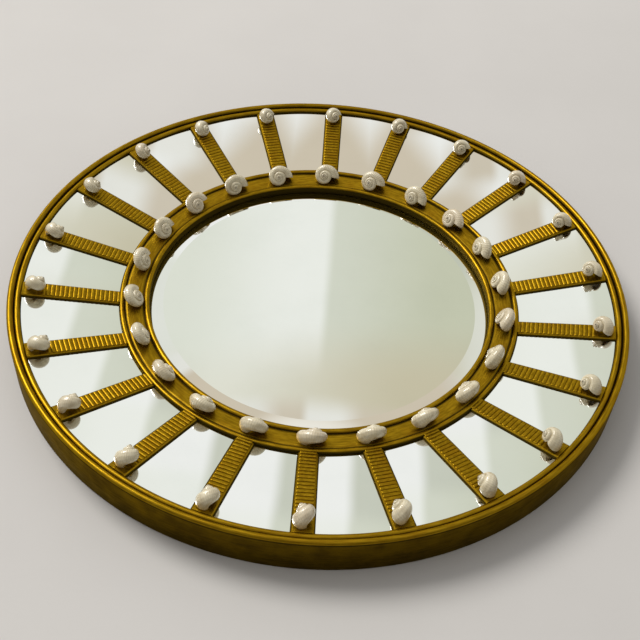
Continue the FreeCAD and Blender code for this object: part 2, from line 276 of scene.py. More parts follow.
def round_bead(outer, inner, foot, rise, flats=10):
    """Points over a bead from its outer to its inner foot, with the value of each for toning and painted
    shade.
    """
    half = (outer - inner) / 2
    middle = (outer + inner) / 2
    sharpness = 1.6
    bead = []
    for i in range(flats + 1):
        t = math.pi * i / flats
        depth = (1 - math.sin(t)) ** sharpness
        bead.append((middle + half * math.cos(t), foot + rise * math.sin(t), depth))
    return bead


print("a bead has", len(round_bead(2.0, 0.0, 0.0, 1.0)), "points across")

# %% [markdown]
# The rim is a tall ring with a plain wall and two beads on its front edge, with a groove between them. The
# CAD ring has flats there; the line follows its walls and puts true round beads in their place. The wall
# gets painted shade, a little darker towards its foot.

# %% Line of the rim
rim_out, rim_in, rim_top = 457.0, 438.5, 60.0
rim_mid = (rim_out + rim_in) / 2
back_edge = 1.5
outer_bead, inner_bead, inner_foot, groove = 4.8, 4.6, 51.2, 52.2
# Painted shade: the outer wall at 0.66 to 0.76, the groove and the inner wall at 1.0; the dark back face is
# the frame's own colour.
rim_line = [
    (rim_in, 0.0, 0.5), (rim_out - back_edge, 0.0, 0.5), (rim_out, back_edge, 0.76),
    (rim_out, 30.0, 0.7), (rim_out, 50.0, 0.68), (rim_out, 53.5, 0.66),
]
rim_line += round_bead(rim_out, rim_mid + 0.3, rim_top - outer_bead, outer_bead)
rim_line += [(rim_mid, groove, 1.0)]
rim_line += round_bead(rim_mid - 0.2, rim_in, inner_foot, inner_bead)
rim_line += [(rim_in, 40.0, 1.0), (rim_in, 20.0, 1.0)]
print("rim line:", len(rim_line), "points, top at", max(z for _, z, _ in rim_line))

# %% [markdown]
# The inner ring has a bead on each side of a smooth channel for the shells, and a rebate under its inner
# lip for the edge of the glass. The outer flank of its outer bead faces the panels and gets painted shade,
# so the first points of that bead are painted darker than their shape alone would give. Its walls and the
# edges of its channel are painted dark as painted shade too.

# %% Line of the inner ring, and both rings turned
ring_out, ring_in, rebate_r = 301.0, 257.0, 262.7
ring_foot, rebate_top = 9.5, 13.3
shaded_flank_points, flank_shade_step = 4, 0.12
# Painted shade on the outer wall, on the outer flank of the outer bead, at the edges of the channel and on
# the inner wall.
ring_line = [(rebate_r, ring_foot, 1.0), (ring_out, ring_foot, 1.0), (ring_out, 20.0, 0.9)]
for i, (r, z, depth) in enumerate(round_bead(ring_out, 293.2, 25.9, 3.4)):
    painted_flank_shade = 1.0 - flank_shade_step * i if i < shaded_flank_points else 0.0
    ring_line.append((r, z, max(depth, painted_flank_shade)))
ring_line += [
    (292.6, 24.6, 1.0), (291.6, 25.6, 0.75), (288.0, 25.55, 0.2), (279.0, 24.2, 0.05),
    (270.0, 22.8, 0.2), (266.4, 22.3, 0.75), (265.4, 21.6, 1.0),
]
ring_line += round_bead(264.8, ring_in, 22.4, 3.2)
ring_line += [(ring_in, 19.0, 1.0), (ring_in, rebate_top, 1.0), (rebate_r, rebate_top, 1.0)]
for name, node, line in (("gilt_rim", "outer_rim", rim_line), ("gilt_ring", "inner_ring", ring_line)):
    ring = lathe(name, line)
    ring.data.materials.append(gilt)
    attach(ring, "frame")
    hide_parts(node)
    print(name, len(ring.data.polygons), "faces")

# %% [markdown]
# ## Geometry Nodes from a script
# Reeds, shells and screws repeat. Geometry Nodes set out copies of one shape, and a small class builds
# such a tree: named inputs first, then nodes, then Realize Instances and Set Material at the end. The
# result is taken as a plain mesh and the modifier goes away again.

# %% Recipe for a node tree


class Recipe:
    """A node group for a modifier, built node by node."""

    def __init__(self, name, inputs):
        self.tree = bpy.data.node_groups.new(name, "GeometryNodeTree")
        self.tree.interface.new_socket("Geometry", in_out="INPUT", socket_type="NodeSocketGeometry")
        self.tree.interface.new_socket("Geometry", in_out="OUTPUT", socket_type="NodeSocketGeometry")
        self.keys = {}
        for key, kind in inputs.items():
            made = self.tree.interface.new_socket(key, in_out="INPUT", socket_type="NodeSocket" + kind)
            self.keys[key] = made.identifier
        self.start = self.tree.nodes.new("NodeGroupInput")
        self.end = self.tree.nodes.new("NodeGroupOutput")

    def given(self, key):
        return self.start.outputs[key]

    def add(self, kind, settings=None, inputs=None, output=0):
        node = self.tree.nodes.new(kind)
        for key, value in (settings or {}).items():
            setattr(node, key, value)
        pairs = inputs.items() if isinstance(inputs, dict) else enumerate(inputs or [])
        for key, value in pairs:
            if isinstance(value, bpy.types.NodeSocket):
                self.tree.links.new(value, node.inputs[key])
            else:
                node.inputs[key].default_value = value
        return node.outputs[output]

    def finish(self, geometry, material):
        whole = self.add("GeometryNodeRealizeInstances", None, {"Geometry": geometry})
        dressed = self.add("GeometryNodeSetMaterial", None, {"Geometry": whole, "Material": material})
        self.tree.links.new(dressed, self.end.inputs[0])
        print("recipe", self.tree.name, "has", len(self.tree.nodes), "nodes")

    def run(self, carrier, values, name):
        """Mesh that the recipe makes of the carrier object with the given inputs."""
        step = carrier.modifiers.new("recipe", "NODES")
        step.node_group = self.tree
        for key, value in values.items():
            step[self.keys[key]] = value
        carrier.update_tag()
        depth = bpy.context.evaluated_depsgraph_get()
        mesh = bpy.data.meshes.new_from_object(carrier.evaluated_get(depth), depsgraph=depth)
        mesh.name = name
        carrier.modifiers.remove(step)
        return mesh


def put_away(*helpers):
    """Remove objects that only served to make a piece."""
    for helper in helpers:
        bpy.data.objects.remove(helper, do_unlink=True)


print("a recipe can", ", ".join(name for name in vars(Recipe) if not name.startswith("_")))

# %% [markdown]
# ## Where the spokes lie
# The panels rise from the inner ring to the rim like a shallow dish of flat facets, and a spoke covers
# each joint between two of them. A joint is a little less steep than the middle of a panel, so its slope
# is worked out from the dish and the number of spokes, as in the CAD source.

# %% Slope and width of a spoke
SPOKES = 22
half_step = math.pi / SPOKES
dish_low, dish_high = 24.5, 49.6
dish_width = rim_in - ring_out
dish_slope = (dish_high - dish_low) / dish_width
spoke_slope = math.cos(half_step) * dish_slope
spoke_tilt = math.atan(spoke_slope)
bar_narrow, bar_wide, bar_gap, end_gap = 14.5, 15.5, 0.07, 0.2
corner_r = ring_out * math.cos(half_step) + bar_wide * math.sin(half_step)
bar_foot = dish_low + (corner_r - ring_out) * dish_slope + bar_gap
far_end = math.sqrt((rim_in - end_gap) ** 2 - bar_wide ** 2)


def spoke_turn(index):
    """Turn about the bench's z axis: the first spoke points to the top, the rest go clockwise."""
    return math.pi / 2 - 2 * half_step * index


def bar_half(x):
    """Half the width of the bar at a distance from the centre."""
    return bar_narrow + (bar_wide - bar_narrow) * (x - ring_out) / dish_width


def on_slope(x, y, up):
    """Point on the tilted spoke: x across the bench, up measured square to the bar's underside."""
    return (x, y, bar_foot + (x - ring_out) * spoke_slope + up / math.cos(spoke_tilt))


print("spokes rise", round(math.degrees(spoke_tilt), 2), "degrees and end at", round(far_end, 1), "mm")

# %% [markdown]
# ## The bar of a spoke
# On the real mirror the bar is a wooden slip with sloping flanks and a tongue between the panels. A bevel
# would not follow the widening bar, so half a cross section is written down, mirrored, and carried along.
# Its side walls and the foot of its flanks are painted dark as painted shade, and the floor between the
# reeds is painted dark, partly as dirt and partly as painted shade.

# %% Bar
bar_thick, flank = 3.6, 3.2
tongue_half, tongue_deep = 3.0, 3.4
reed_pitch, reed_rise, reed_count, reed_margin = 6.4, 1.3, 18, 0.2
reed_first = ring_out - reed_pitch / 2
reed_stop = reed_first + (reed_count - 0.5) * reed_pitch
reed_dirt_and_shade = 0.6
# Each row: share of the half width, millimetres added to it, height, value for painted shade and toning.
half_section = [
    (0.0, tongue_half, -tongue_deep, 1.0), (0.0, tongue_half, 0.0, 1.0), (1.0, 0.0, 0.0, 1.0),
    (1.0, 0.0, 0.9, 1.0), (1.0, -1.1, 1.9, 0.95), (1.0, -flank + 0.8, 3.0, 0.1),
    (1.0, -flank + 0.2, 3.52, 0.0), (1.0, -flank - 0.3, bar_thick, 0.3), (0.0, 2.0, bar_thick, 0.3),
]
section = half_section + [(-share, -extra, up, depth) for share, extra, up, depth in half_section[::-1]]
stations = np.linspace(ring_out + end_gap, far_end, 12)


def reed_half(x):
    """Half the length of a reed at a distance from the centre."""
    return bar_half(x) - flank - reed_margin


bar_points, bar_faces, bar_recess = [], [], []
# The floor between the reeds gets dirt and painted shade; the walls and flanks keep the painted shade of
# the section.
for x in stations:
    for share, extra, up, depth in section:
        y = share * bar_half(x) + extra
        under_reeds = up == bar_thick and abs(y) < reed_half(x) and x < reed_stop
        bar_points.append(on_slope(x, y, up))
        bar_recess.append(reed_dirt_and_shade if under_reeds else depth)
n = len(section)
for i in range(len(stations) - 1):
    for j in range(n):
        k = (j + 1) % n
        bar_faces.append((i * n + j, i * n + k, (i + 1) * n + k, (i + 1) * n + j))
bar_faces.append(tuple(range(n))[::-1])
bar_faces.append(tuple(range((len(stations) - 1) * n, len(stations) * n)))
bar = make_piece("spoke_bar", bar_points, bar_faces, False, {"recess": bar_recess})
print("bar of", len(bar.data.polygons), "faces")

# %% [markdown]
# ## One reed
# Half round reeds cross the bar like the rungs of a ladder. A reed is an arch with rounded ends, one unit
# long to each side, so that the node tree can stretch it to the bar's width. A skirt carries its edge
# down into the bar, and a bottom closes it, so that it is a solid shape.

# %% Reed
arch_steps, arch_share, arch_fullness = 8, 0.46, 0.7
reed_sink, skirt_foot = 0.05, -0.3
end_start, end_dirt_and_shade, dirt_and_shade_fade = 0.95, 0.55, 1.5
across = [-1.0, -0.985, -0.96, -0.9, -0.5, 0.0, 0.5, 0.9, 0.96, 0.985, 1.0]
wide = len(across)
reed_points, reed_faces, reed_recess = [], [], []
for i in range(arch_steps + 1):
    t = math.pi * i / arch_steps
    for y in across:
        past_start = max(0.0, (abs(y) - end_start) / (1 - end_start))
        end = math.sqrt(max(0.0, 1 - past_start ** 2))
        rise = math.sin(t) ** arch_fullness * end
        reed_points.append((-arch_share * math.cos(t) * reed_pitch, y, rise * reed_rise - reed_sink))
        # Darker at the foot of the arch and at the rounded ends: dirt and painted shade where the reed
        # meets the bar.
        reed_recess.append(max(reed_dirt_and_shade * (1 - rise) ** dirt_and_shade_fade, end_dirt_and_shade * (1 - end)))
for i in range(arch_steps):
    for j in range(wide - 1):
        a = i * wide + j
        reed_faces.append((a, a + wide, a + wide + 1, a + 1))
last, foot = arch_steps * wide, len(reed_points)
edge = [
    *range(wide), *range(2 * wide - 1, last + wide - 1, wide),
    *range(last + wide - 1, last - 1, -1), *range(last - wide, 0, -wide),
]
for i, corner in enumerate(edge):
    reed_points.append((*reed_points[corner][:2], skirt_foot))
    reed_recess.append(1.0)
    k = (i + 1) % len(edge)
    reed_faces.append((corner, edge[k], foot + k, foot + i))
reed_faces.append(tuple(range(foot, foot + len(edge))))
reed = make_piece("one_reed", reed_points, reed_faces, True, {"recess": reed_recess})
print("reed of", len(reed.data.polygons), "faces")

# %% [markdown]
# ## A row of reeds
# An Array modifier makes equal copies, but these widen with the bar. In Geometry Nodes the index of each
# copy gives both its place and its width. The row stops short of a plain seat for the outer shell.

# %% Row of reeds
row = Recipe("reed_row", {"Reed": "Object", "Count": "Int", "Pitch": "Float", "First width": "Float",
                          "Widening": "Float", "Gilding": "Material"})
rungs = row.add("GeometryNodeMeshLine", None, {"Count": row.given("Count")})
index = row.add("GeometryNodeInputIndex")
run = row.add("ShaderNodeMath", {"operation": "MULTIPLY"}, [index, row.given("Pitch")])
spot = row.add("ShaderNodeCombineXYZ", None, [run])
set_out = row.add("GeometryNodeSetPosition", None, {"Geometry": rungs, "Position": spot})
grow = row.add("ShaderNodeMath", {"operation": "MULTIPLY_ADD"},
               [index, row.given("Widening"), row.given("First width")])
size = row.add("ShaderNodeCombineXYZ", None, [1.0, grow, 1.0])
one = row.add("GeometryNodeObjectInfo", None, {"Object": row.given("Reed")}, "Geometry")
copies = row.add("GeometryNodeInstanceOnPoints", None, {"Points": set_out, "Instance": one, "Scale": size})
row.finish(copies, row.given("Gilding"))
widening = (bar_wide - bar_narrow) * reed_pitch / dish_width
carrier = make_piece("reed_row", [(0, 0, 0)], [])
reeds = row.run(carrier, {
    "Reed": reed, "Count": reed_count, "Pitch": reed_pitch * MM, "First width": reed_half(reed_first),
    "Widening": widening, "Gilding": gilt_reeds,
}, "reeds")
lay = Matrix.Translation(Vector(on_slope(reed_first + reed_pitch / 2, 0, bar_thick)) * MM)
reeds.transform(lay @ Matrix.Rotation(-spoke_tilt, 4, "Y"))
print("row of", reed_count, "reeds:", len(reeds.polygons), "faces")

# %% [markdown]
# Bar and reeds are one carved piece, so their meshes are joined. Every spoke is then its own object, in
# place of its own CAD node, with its turn in its mesh.

# %% Spokes on the frame
joined = bmesh.new()
joined.from_mesh(bar.data)
joined.from_mesh(reeds)
spoke_mesh = bpy.data.meshes.new("reeded_spoke")
joined.to_mesh(spoke_mesh)
joined.free()
spoke_mesh.materials.append(gilt_reeds)
put_away(bar, reed, carrier)

for i in range(SPOKES):
    spoke = add_object("reeded_spoke_%02d" % (i + 1), spoke_mesh.copy())
    hang(spoke, Matrix.Rotation(spoke_turn(i), 4, "Z"))
    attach(spoke, "frame")
    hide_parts("spoke_%02d" % (i + 1))
print("spokes:", SPOKES, "with", len(spoke_mesh.polygons), "faces each")

# %% [markdown]
# ## Pearly shell
# A polished turban shell is cream with a rosy cast, faint growth lines across each whorl and fine cords
# along it, under a natural gloss. An image of a shell would stretch over the coil. So each point carries
# how far it has grown and its place on the outline, and sines of these draw lines and cords.

# %% Pearl


def pearl():
    cream, tan, rose = (0.78, 0.7, 0.5), (0.57, 0.485, 0.315), (0.66, 0.52, 0.38)
    rib, chalk, stain = (0.44, 0.39, 0.29), (0.88, 0.88, 0.86), (0.17, 0.13, 0.09)
    paint = Paint("pearly_shell")
    place = paint.place()
    wobble = paint.noise(place, scale=120.0, detail=3.0)
    cloud = paint.noise(place, scale=75.0, detail=4.0)
    speck = paint.noise(place, scale=420.0, detail=3.0)
    ribs = (paint.mark("growth") * 34.0 + wobble * 5.0).maths("SINE")
    cords = (paint.mark("band") * 62.0).maths("SINE")
    base = paint.mix(cloud.ramp(0.35, 0.7), cream, tan)
    rosy = paint.mix(paint.mark("shade").ramp(0.6, 1.0) * 0.35, base, rose)
    ribbed = paint.mix((ribs * 0.5 + 0.5) * 0.22, rosy, rib)
    spotted = paint.mix(speck.ramp(0.58, 0.75) * 0.25, ribbed, chalk)
    # Painted darker where the mark is set: a real stain on the worn tip, darker seams, and painted shade
    # inside the mouth.
    colour = paint.mix(paint.mark("recess").ramp(0.35, 1.0) * 0.85, spotted, stain)
    relief = paint.bump(ribs * 0.5 + cords * 0.35 + speck * 0.3, distance=0.0003, strength=0.55)
    rough = 0.24 + cloud * 0.16
    return paint.surface(Base_Color=colour, Roughness=rough, Normal=relief, Coat_Weight=0.85,
                         Coat_Roughness=0.14, Specular_IOR_Level=0.6)


shell_skin = pearl()
report(shell_skin)

# %% [markdown]
# ## Turban shells
# A snail builds its shell by adding to the lip while it turns, always in the same proportion. So one
# outline, carried round an axis and scaled by a fixed ratio per turn, gives every whorl. Sculpting would
# need each whorl by hand. The outline is a smooth loop through nine points.

# %% Outline of a whorl


def smooth_loop(corners, steps):
    """Closed curve through the corners (Catmull-Rom)."""
    ring = [np.array(c, dtype=float) for c in corners]
    count = len(ring)
    loop = []
    for i in range(count):
        a, b, c, d = (ring[(i + k - 1) % count] for k in range(4))
        for s in range(steps):
            t = s / steps
            bend = (2 * a - 5 * b + 4 * c - d) * t * t + (3 * b - a - 3 * c + d) * t ** 3
            loop.append(0.5 * (2 * b + (c - a) * t + bend))
    return np.array(loop)


def whorl_outline(size, spire, base):
    """Outline of the last whorl as (radius, height): the apex is at height zero, the base below."""
    return smooth_loop([
        (size * 0.5, -spire * 0.5), (size * 0.74, -spire * 0.5), (size * 0.91, -spire * 0.68),
        (size * 1.0, -spire), (size * 0.93, -spire - base * 0.5), (size * 0.7, -spire - base * 0.92),
        (size * 0.38, -spire - base), (size * 0.2, -spire - base * 0.55), (size * 0.22, -spire * 0.9),
    ], 4)


print("outline of", len(whorl_outline(1.0, 1.0, 1.0)), "points")

# %% [markdown]
# The whorls run from the tip to the lip. At the lip the outline steps inwards and runs back inside, as a
# smaller skin, so that the mouth looks hollow. The last turn has closer rows than the early ones, because
# it makes most of what is seen. The tip is marked for its worn stain, the seams are marked darker, and the
# inside of the mouth gets painted shade. Tip, seams and mouth are marked as recessed, where stain stays.

# %% One fine shell
TURNS, GROWTH = 3.6, 2.0
LAST_TURNS = 1.25
LIP_TURN, LIP_FLARE = 0.22, 0.07
MOUTH_ROWS = [(0.004, 0.965), (0.0, 0.9), (-0.05, 0.82), (-0.14, 0.7), (-0.25, 0.5)]


def lip_flare(turn):
    """The last stretch before the mouth opens a little wider."""
    return 1.0 + LIP_FLARE * max(0.0, 1 + turn / LIP_TURN) ** 2 if turn > -LIP_TURN else 1.0


def stain_and_shade_depth(turn, share, on_seam):
    """Darkness value: stain on the worn tip, darker along the seam between whorls, and painted shade inside
    the mouth.
    """
    inside = share < 0.95
    tip = max(0.0, 1.0 - (turn + TURNS) / 1.1)
    seam = 0.5 if on_seam and not inside else 0.0
    mouth = 0.8 if share < 0.75 else 0.35 if inside else 0.0
    return max(tip, seam, mouth)


def fine_shell(name, size, spire, base):
    """Shell about the z axis, apex at the origin and up; lip at turn zero, older whorls behind it."""
    outline = whorl_outline(size, spire, base)
    count = len(outline)
    centre = outline.mean(axis=0)
    early = np.linspace(-TURNS, -LAST_TURNS, 60, endpoint=False)
    late = np.linspace(-LAST_TURNS, 0.0, 58)
    rows = [(turn, 1.0) for turn in (*early, *late)] + MOUTH_ROWS
    points, marks = [], {"growth": [], "band": [], "recess": []}
    for turn, share in rows:
        scale = GROWTH ** turn
        a = -2 * math.pi * turn
        for j, spot in enumerate(outline):
            p = centre + (spot - centre) * share
            radial = p[0] * scale * (lip_flare(turn) if p[0] > size * 0.5 else 1.0)
            points.append((radial * math.cos(a), radial * math.sin(a), p[1] * scale))
            marks["growth"].append(2 * math.pi * turn)
            marks["band"].append(j / count)
            marks["recess"].append(stain_and_shade_depth(turn, share, j in (0, 1, count - 1)))
    faces = []
    for r in range(len(rows) - 1):
        for j in range(count):
            k = (j + 1) % count
            faces.append((r * count + j, (r + 1) * count + j, (r + 1) * count + k, r * count + k))
    faces.append(tuple(range((len(rows) - 1) * count, len(rows) * count))[::-1])
    faces.append(tuple(range(count)))
    return make_piece(name, points, faces, True, marks)


print("a shell has", TURNS, "turns and grows", round(GROWTH ** TURNS, 1), "times from tip to lip")

# %% [markdown]
# ## Seats for the shells
# Each shell leans inward from its seat, and neighbours differ by a few degrees, as hand-set shells do. The
# seats follow the same rule as the CAD shells. They are points of a mesh that carry each shell's turn and
# its own shade as attributes, ready for Geometry Nodes.

# %% Seats
SWAY, SWAY_STEP = math.radians(7.0), 2.4
BEDDING = 0.8
SHADE_STEP, SHADE_START = 0.618, 0.13


def sway(index, phase):
    """Small turn that differs from shell to shell."""
    return SWAY * math.sin(SWAY_STEP * index + phase)


def seat_points(name, shell, radius, aside, height, slope, lean, lean_phase, tip, roll, roll_phase):
    """One point per shell, with the turn that sets it on its seat and a shade of its own."""
    local = np.array([v.co for v in shell.data.vertices])
    middle = (local.min(axis=0) + local.max(axis=0)) / 2
    local = local - middle
    normal = Vector((-slope, 0, 1)).normalized()
    inward = Vector((-1, 0, -slope)).normalized()
    level = inward * math.cos(math.radians(tip)) + normal.cross(inward) * math.sin(math.radians(tip))
    spots, turns, shades = [], [], []
    for i in range(SPOKES):
        angle = math.radians(lean) + sway(i, lean_phase)
        axis = level * math.cos(angle) + normal * math.sin(angle)
        side = normal.cross(axis).normalized()
        stand = Matrix((side, axis.cross(side), axis)).transposed()
        stand = stand @ Matrix.Rotation(math.radians(roll) + sway(i, roll_phase), 3, "Z")
        low = (local @ np.array(stand).T @ np.array(normal)).min()
        seat = Vector((radius, aside, height)) * MM - normal * (low + BEDDING * MM)
        spin = Matrix.Rotation(spoke_turn(i), 3, "Z")
        whole = spin @ stand
        spots.append(np.array(spin @ seat - whole @ Vector(middle)) / MM)
        turns.append(whole.to_quaternion())
        shades.append((i * SHADE_STEP + SHADE_START) % 1.0)
    seats = make_piece(name, spots, [], True, {"shade": shades})
    layer = seats.data.attributes.new("turn", "QUATERNION", "POINT")
    layer.data.foreach_set("value", np.array([tuple(q) for q in turns], dtype=np.float32).ravel())
    return seats


print("neighbouring shells sway up to", round(math.degrees(SWAY), 1), "degrees")

# %% [markdown]
# Larger, low-spired shells lie in the channel of the ring, and smaller, taller ones on the plain ends of
# the spokes. One shell of each kind is made and copied to its seats.

# %% Shells on their seats
scatter = Recipe("shells_on_seats", {"Shell": "Object", "Skin": "Material"})
turn = scatter.add("GeometryNodeInputNamedAttribute", {"data_type": "QUATERNION"}, {"Name": "turn"})
seats = scatter.add("GeometryNodeMeshToPoints", None, {"Mesh": scatter.given("Geometry")})
copy = scatter.add("GeometryNodeObjectInfo", None, {"Object": scatter.given("Shell")}, "Geometry")
sown = scatter.add("GeometryNodeInstanceOnPoints", None,
                   {"Points": seats, "Instance": copy, "Rotation": turn})
scatter.finish(sown, scatter.given("Skin"))

channel_in, channel_out, channel_low, channel_high, channel_deep = 266.0, 292.0, 25.6, 29.3, 3.2
channel_slope = (channel_high - channel_low) / (channel_out - channel_in)
inner_r, outer_r = 281.6, rim_in - 17.4
inner_seat = {
    "radius": inner_r, "aside": 3.0, "slope": channel_slope,
    "height": channel_low - channel_deep + (inner_r - channel_in) * channel_slope,
    "lean": 38.0, "lean_phase": 1.0, "tip": -8.0, "roll": 0.0, "roll_phase": 0.0,
}
outer_seat = {
    "radius": outer_r, "aside": 0.0, "slope": spoke_slope, "height": on_slope(outer_r, 0, bar_thick)[2],
    "lean": 36.0, "lean_phase": 2.0, "tip": 40.0, "roll": -12.0, "roll_phase": 3.0,
}
shell_kinds = (
    ("inner_shell", "inner_shells", {"size": 23.2, "spire": 14.0, "base": 12.0}, inner_seat),
    ("outer_shell", "outer_shells", {"size": 17.8, "spire": 19.0, "base": 11.5}, outer_seat),
)
for name, node, form, seat in shell_kinds:
    shell = fine_shell("one_" + name, **form)
    carrier = seat_points(name + "_seats", shell, **seat)
    mesh = scatter.run(carrier, {"Shell": shell, "Skin": shell_skin}, "pearly_" + node)
    put_away(shell, carrier)
    piece = hang(add_object("pearly_" + node, mesh))
    for face in piece.data.polygons:
        face.use_smooth = True
    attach(piece, "frame")
    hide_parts(node)
    print(piece.name, len(piece.data.polygons), "faces")

# %% [markdown]
# ## Mirror glass
# Silvered glass is a clean mirror with a faint green cast. Up close it is never perfect: wiping leaves
# a haze that softens the reflection here and there, and drawn sheet is a little wavy. Glass over a silver
# layer could be modelled as two, but one metal surface shows the same and is read by every program. The
# CAD panels and the bevelled centre already have their true shape, so they only get this finish.

# %% Silvered glass


def silvered():
    clean, hazy = (0.9, 0.915, 0.9), (0.84, 0.86, 0.84)
    paint = Paint("silvered_glass")
    place = paint.place()
    haze = paint.noise(place, scale=9.0, detail=5.0, rough=0.6)
    wave = paint.noise(place, scale=6.0, detail=1.0)
    dust = paint.noise(place, scale=700.0, detail=2.0)
    colour = paint.mix(haze.ramp(0.4, 0.75) * 0.5, clean, hazy)
    rough = 0.012 + haze.ramp(0.5, 0.8) * 0.03 + dust.ramp(0.62, 0.8) * 0.02
    relief = paint.bump(wave, distance=0.0012, strength=0.12)
    return paint.surface(Base_Color=colour, Metallic=1.0, Roughness=rough, Normal=relief)


def dress(node, material):
    """Give a CAD piece a material, on its object and not on its mesh."""
    for slot in nodes[node].material_slots:
        slot.link = "OBJECT"
        slot.material = material


silver = silvered()
report(silver)
panes = ["centre_mirror"] + ["mirror_panel_%02d" % (i + 1) for i in range(SPOKES)]
for pane in panes:
    dress(pane, silver)
print("silvered panes:", len(panes))

# %% [markdown]
# ## Board and bearers
# Behind the glass is a brown hardboard disc, screwed to bare wood bearers. Hardboard is pressed fibre, so
# its noise is stretched one way; softwood shows its rings as bands. Both come from noise with a different
# stretch on each axis.

# %% Hardboard and softwood


def hardboard():
    dark, pale, grey = (0.115, 0.062, 0.03), (0.25, 0.155, 0.085), (0.19, 0.12, 0.07)
    paint = Paint("hardboard")
    place = paint.place()
    x, y, z = paint.split(place)
    fibres = paint.noise(paint.join(x * 340.0, y * 340.0, z * 90.0), scale=1.0, detail=5.0, rough=0.65)
    cloud = paint.noise(place, scale=7.0, detail=4.0)
    pressed = paint.mix(fibres.ramp(0.3, 0.7), dark, pale)
    colour = paint.mix(cloud.ramp(0.4, 0.7) * 0.4, pressed, grey)
    relief = paint.bump(fibres, distance=0.0004, strength=0.6)
    return paint.surface(Base_Color=colour, Roughness=0.62 + fibres * 0.25, Normal=relief)


def softwood():
    early, late = (0.5, 0.35, 0.19), (0.36, 0.22, 0.1)
    paint = Paint("bare_softwood")
    x, y, z = paint.split(paint.place())
    rings = paint.noise(paint.join(x * 30.0, y * 240.0, z * 30.0), scale=1.0, detail=4.0)
    colour = paint.mix(rings.ramp(0.35, 0.65), early, late)
    relief = paint.bump(rings, distance=0.0003, strength=0.5)
    return paint.surface(Base_Color=colour, Roughness=0.7 + rings * 0.15, Normal=relief)


board_brown = hardboard()
bare_wood = softwood()
dress("backing_board", board_brown)
for node in ("outer_bearer", "inner_bearer"):
    dress(node, bare_wood)
report(board_brown)
report(bare_wood)

# %% [markdown]
# ## Plated steel
# Two strap hangers carry wire loops. Straps, wire and screws are plated steel: a metal with fine scratches
# in one direction and yellowish stains. The screws are a little yellower than the straps.

# %% Plated steel


def plated(name, light, dark):
    paint = Paint(name)
    place = paint.place()
    x, y, z = paint.split(place)
    scratch = paint.noise(paint.join(x * 2600.0, y * 500.0, z * 260.0), scale=1.0, detail=3.0)
    stain = paint.noise(place, scale=160.0, detail=4.0)
    colour = paint.mix(stain.ramp(0.4, 0.72), light, dark)
    rough = 0.26 + scratch * 0.2 + stain * 0.12
    relief = paint.bump(scratch, distance=0.00005, strength=0.4)
    return paint.surface(Base_Color=colour, Metallic=1.0, Roughness=rough, Normal=relief)


steel = plated("plated_steel", (0.62, 0.6, 0.54), (0.44, 0.41, 0.34))
screw_steel = plated("plated_screw", (0.56, 0.5, 0.36), (0.36, 0.31, 0.2))
for node in ("hanger_strap_left", "hanger_strap_right"):
    dress(node, steel)
report(steel)
report(screw_steel)

# %% [markdown]
# ## Wire loops
# Each loop swings in the rolled eye of its strap. Wire is drawn round, so the loop is a round section
# carried along its middle line: a straight pin through the eye, two small bends and a wide bow. A curve
# with a bevel would do too, but a closed mesh made here needs no conversion.

# %% Wire loops
hanger_r, hanger_turn = rim_in - 33.5, math.radians(35.0)
eye_rise, eye_depth = 19.0, 2.95
loop_half, loop_drop, wire_r, wire_bend, wire_sides = 10.5, 13.0, 1.25, 2.5, 14
hanger_x, hanger_y = hanger_r * math.cos(hanger_turn), hanger_r * math.sin(hanger_turn)


def loop_line():
    """Middle line of a loop, from the right end of its pin round the bow to the left end."""
    bend, bow = np.linspace(0, math.pi / 2, 6), np.linspace(0, math.pi, 25)
    pin_half = loop_half - wire_bend
    line = [(pin_half + wire_bend * math.sin(t), -wire_bend + wire_bend * math.cos(t)) for t in bend]
    line += [(loop_half * math.cos(t), -loop_drop - loop_half * math.sin(t)) for t in bow]
    line += [(-pin_half - wire_bend * math.cos(t), -wire_bend + wire_bend * math.sin(t)) for t in bend]
    return line


def wire_loop(name, x, y):
    """Round wire along the line of a loop, with its pin at x and y."""
    line = loop_line()
    count = len(line)
    points, faces = [], []
    for i, (u, v) in enumerate(line):
        before, after = line[i - 1], line[(i + 1) % count]
        run = np.array([after[0] - before[0], after[1] - before[1]])
        run = run / np.linalg.norm(run)
        for j in range(wire_sides):
            a = 2 * math.pi * j / wire_sides
            out, rise = wire_r * math.cos(a), wire_r * math.sin(a)
            points.append((x + u - run[1] * out, y + v + run[0] * out, eye_depth + rise))
    for i in range(count):
        for j in range(wire_sides):
            k, m = (j + 1) % wire_sides, (i + 1) % count
            faces.append((i * wire_sides + j, i * wire_sides + k, m * wire_sides + k, m * wire_sides + j))
    return make_piece(name, points, faces)


for side, word in ((-1, "left"), (1, "right")):
    loop = hang(wire_loop("wire_loop_" + word, side * hanger_x, hanger_y + eye_rise))
    loop.data.materials.append(steel)
    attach(loop, word + "_loop")
    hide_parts("hanger_loop_" + word)
    print(loop.name, len(loop.data.polygons), "faces")

# %% [markdown]
# ## Screws
# The screws have flat countersunk heads with a cross recess. A boolean cut would leave ragged faces on such
# a small head, so the cross is drawn as an outline, sunk to a narrower floor, and the flat of the head is
# filled between cross and edge.

# %% One screw
HEAD_EDGE, POINT_LENGTH, POINT_R = 0.35, 3, 0.2
CROSS_ARM, CROSS_WIDTH, CROSS_DEEP, CROSS_TAPER = 0.62, 0.13, 1.2, 0.55


def cross_outline(arm, width):
    """The twelve corners of a cross, clockwise."""
    return [
        (width, width), (arm, width), (arm, -width), (width, -width), (width, -arm), (-width, -arm),
        (-width, -width), (-arm, -width), (-arm, width), (-width, width), (-width, arm), (width, arm),
    ]


def fill_head(piece):
    """Close the flat of the head, between its edge and the cross, and turn all faces outwards."""
    work = bmesh.new()
    work.from_mesh(piece.data)
    open_edges = [e for e in work.edges if all(v.co.z < 1e-9 for v in e.verts) and e.is_boundary]
    bmesh.ops.triangle_fill(work, use_beauty=True, edges=open_edges)
    bmesh.ops.recalc_face_normals(work, faces=work.faces)
    work.to_mesh(piece.data)
    work.free()


